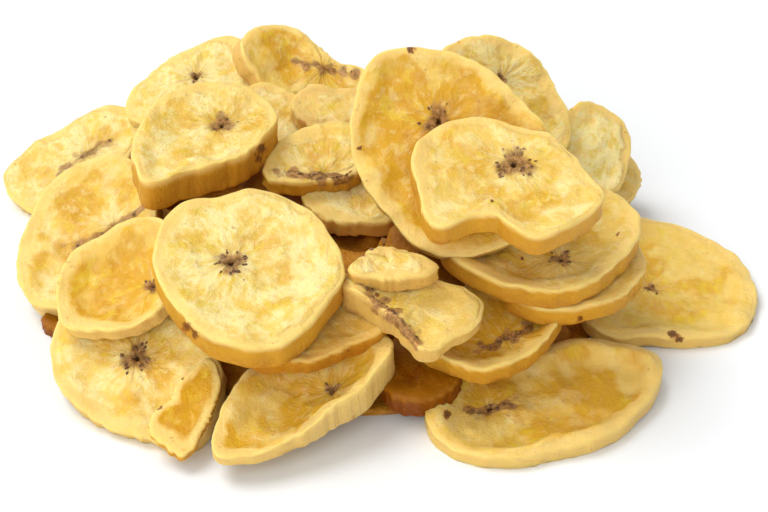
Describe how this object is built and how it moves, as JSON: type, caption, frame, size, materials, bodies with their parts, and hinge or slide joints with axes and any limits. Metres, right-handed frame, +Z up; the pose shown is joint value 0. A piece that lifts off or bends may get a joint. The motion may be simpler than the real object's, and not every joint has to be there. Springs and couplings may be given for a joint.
{
  "type": "heap of banana chips",
  "caption": "Loose low heap of dried banana slices: thick pale discs with raised rims, some bent, folded or torn, piled on a bare surface.",
  "frame": {"origin": "middle of the bounding box in X and Y, on the surface the heap lies on", "axes": "+X along the heap's longest side, +Z up, -Y towards the viewer"},
  "size_m": [0.1622, 0.134, 0.0546],
  "materials": {
    "banana_chip": "dry, slightly waxy dried fruit, pale cream to amber"
  },
  "bodies": {
    "root": {"banana_chip_heap": "banana_chip"}
  },
  "joints": []
}
